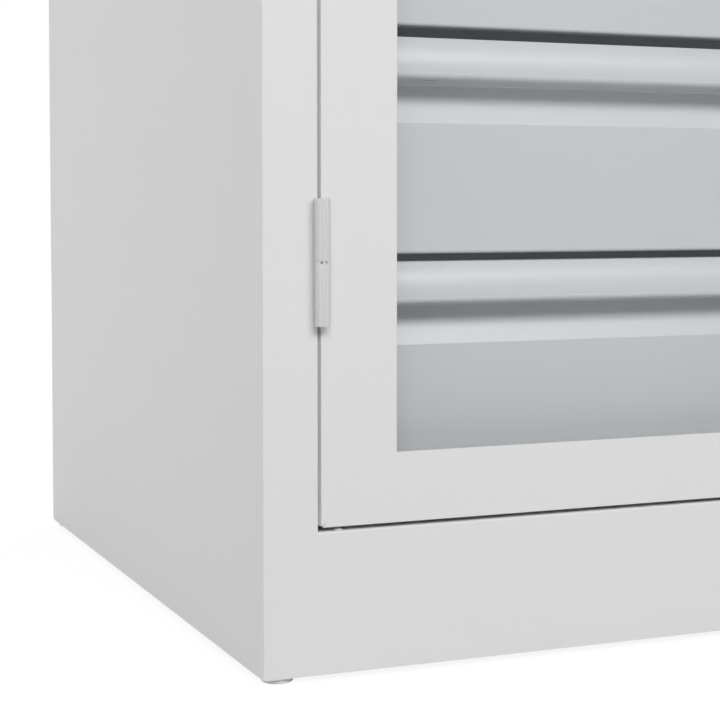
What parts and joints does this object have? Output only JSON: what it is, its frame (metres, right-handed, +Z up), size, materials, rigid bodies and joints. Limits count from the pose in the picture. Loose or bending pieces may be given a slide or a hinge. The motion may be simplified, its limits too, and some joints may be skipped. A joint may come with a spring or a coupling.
{
  "type": "heavy-duty drawer cabinet",
  "caption": "Sheet-steel drawer cabinet with hinged vision-panel doors, a rotary handle with locking rods, and full-width drawers with folded grip bars on telescopic slides.",
  "frame": {"origin": "middle of the cabinet's box, on the floor", "axes": "+Z up, front towards -Y, +X to the right seen from the front"},
  "size_m": [1, 0.642, 1],
  "materials": {
    "body_sheet": "light grey powder coat, fine texture",
    "drawer_sheet": "light grey powder coat, satin",
    "tray_sheet": "dark grey powder coat",
    "feet": "moulded grey plastic",
    "bare_steel": "zinc-plated steel",
    "washers": "light grey plastic washers",
    "rubber": "black rubber",
    "pane": "clear sheet",
    "black_plastic": "moulded black plastic",
    "white_plastic": "moulded white plastic",
    "lock_steel": "polished nickel"
  },
  "bodies": {
    "cabinet": {"side_panel_left": "body_sheet", "side_panel_right": "body_sheet", "back_panel": "body_sheet", "top_panel": "body_sheet", "floor_panel": "body_sheet", "plinth_panel": "body_sheet", "header_rail": "body_sheet", "foot_brackets": "body_sheet", "feet": "feet", "uprights_left": "bare_steel", "uprights_right": "bare_steel", "slide_outers_left": "bare_steel", "slide_outers_right": "bare_steel", "hinge_frame_barrels": "body_sheet", "hinge_pins": "bare_steel", "hinge_washers": "washers", "door_buffers": "rubber", "plinth_plugs": "white_plastic", "magnet_catches": "bare_steel"},
    "door_left": {"door_panel_left": "body_sheet", "window_pane_left": "pane", "glazing_seal_left": "rubber", "pane_frame_left": "body_sheet", "hinge_barrels_left": "body_sheet", "bolt_guides": "black_plastic"},
    "door_right": {"door_panel_right": "body_sheet", "window_pane_right": "pane", "glazing_seal_right": "rubber", "pane_frame_right": "body_sheet", "hinge_barrels_right": "body_sheet", "lock_rosette": "black_plastic", "rod_guides": "black_plastic"},
    "handle": {"lock_handle": "black_plastic", "lock_cam": "bare_steel"},
    "lock_cylinder": {"lock_cylinder": "lock_steel"},
    "rod_upper": {"rod_upper": "bare_steel"},
    "rod_lower": {"rod_lower": "bare_steel"},
    "bolt_upper": {"bolt_upper": "bare_steel"},
    "bolt_lower": {"bolt_lower": "bare_steel"},
    "drawer_1": {"drawer_1_front": "drawer_sheet", "drawer_1_tray": "tray_sheet", "drawer_1_runners": "bare_steel"},
    "drawer_1_slides": {"drawer_1_slides": "bare_steel"},
    "drawer_2": {"drawer_2_front": "drawer_sheet", "drawer_2_tray": "tray_sheet", "drawer_2_runners": "bare_steel"},
    "drawer_2_slides": {"drawer_2_slides": "bare_steel"},
    "drawer_3": {"drawer_3_front": "drawer_sheet", "drawer_3_tray": "tray_sheet", "drawer_3_runners": "bare_steel"},
    "drawer_3_slides": {"drawer_3_slides": "bare_steel"},
    "drawer_4": {"drawer_4_front": "drawer_sheet", "drawer_4_tray": "tray_sheet", "drawer_4_runners": "bare_steel"},
    "drawer_4_slides": {"drawer_4_slides": "bare_steel"},
    "drawer_5": {"drawer_5_front": "drawer_sheet", "drawer_5_tray": "tray_sheet", "drawer_5_runners": "bare_steel"},
    "drawer_5_slides": {"drawer_5_slides": "bare_steel"}
  },
  "joints": [
    {"name": "door_left_swing", "type": "hinge", "parent": "cabinet", "child": "door_left", "pos_m": [-0.4624, -0.28405, 0.5055], "axis": [0, 0, -1], "range_deg": [0, 180]},
    {"name": "door_right_swing", "type": "hinge", "parent": "cabinet", "child": "door_right", "pos_m": [0.4624, -0.28405, 0.5055], "axis": [0, 0, 1], "range_deg": [0, 180]},
    {"name": "handle_turn", "type": "hinge", "parent": "door_right", "child": "handle", "pos_m": [0.0251, -0.279, 0.5055], "axis": [0, -1, 0], "range_deg": [0, 90]},
    {"name": "key_turn", "type": "hinge", "parent": "handle", "child": "lock_cylinder", "pos_m": [0.0251, -0.279, 0.5055], "axis": [0, -1, 0], "range_deg": [0, 90]},
    {"name": "rod_upper_slide", "type": "slide", "parent": "door_right", "child": "rod_upper", "axis": [0, 0, 1], "range_m": [0, 0.018]},
    {"name": "rod_lower_slide", "type": "slide", "parent": "door_right", "child": "rod_lower", "axis": [0, 0, -1], "range_m": [0, 0.018]},
    {"name": "bolt_upper_slide", "type": "slide", "parent": "door_left", "child": "bolt_upper", "axis": [0, 0, 1], "range_m": [0, 0.016]},
    {"name": "bolt_lower_slide", "type": "slide", "parent": "door_left", "child": "bolt_lower", "axis": [0, 0, -1], "range_m": [0, 0.016]},
    {"name": "drawer_1_pull", "type": "slide", "parent": "cabinet", "child": "drawer_1", "axis": [0, -1, 0], "range_m": [0, 0.018]},
    {"name": "drawer_1_slides_run", "type": "slide", "parent": "cabinet", "child": "drawer_1_slides", "axis": [0, -1, 0], "range_m": [0, 0.009]},
    {"name": "drawer_2_pull", "type": "slide", "parent": "cabinet", "child": "drawer_2", "axis": [0, -1, 0], "range_m": [0, 0.018]},
    {"name": "drawer_2_slides_run", "type": "slide", "parent": "cabinet", "child": "drawer_2_slides", "axis": [0, -1, 0], "range_m": [0, 0.009]},
    {"name": "drawer_3_pull", "type": "slide", "parent": "cabinet", "child": "drawer_3", "axis": [0, -1, 0], "range_m": [0, 0.018]},
    {"name": "drawer_3_slides_run", "type": "slide", "parent": "cabinet", "child": "drawer_3_slides", "axis": [0, -1, 0], "range_m": [0, 0.009]},
    {"name": "drawer_4_pull", "type": "slide", "parent": "cabinet", "child": "drawer_4", "axis": [0, -1, 0], "range_m": [0, 0.018]},
    {"name": "drawer_4_slides_run", "type": "slide", "parent": "cabinet", "child": "drawer_4_slides", "axis": [0, -1, 0], "range_m": [0, 0.009]},
    {"name": "drawer_5_pull", "type": "slide", "parent": "cabinet", "child": "drawer_5", "axis": [0, -1, 0], "range_m": [0, 0.018]},
    {"name": "drawer_5_slides_run", "type": "slide", "parent": "cabinet", "child": "drawer_5_slides", "axis": [0, -1, 0], "range_m": [0, 0.009]}
  ],
  "couplings": [
    {"joint": "rod_upper_slide", "follows": "handle_turn", "m_per_rad": 0.011459},
    {"joint": "rod_lower_slide", "follows": "handle_turn", "m_per_rad": 0.011459},
    {"joint": "drawer_1_slides_run", "follows": "drawer_1_pull", "ratio": 0.5},
    {"joint": "drawer_2_slides_run", "follows": "drawer_2_pull", "ratio": 0.5},
    {"joint": "drawer_3_slides_run", "follows": "drawer_3_pull", "ratio": 0.5},
    {"joint": "drawer_4_slides_run", "follows": "drawer_4_pull", "ratio": 0.5},
    {"joint": "drawer_5_slides_run", "follows": "drawer_5_pull", "ratio": 0.5}
  ]
}
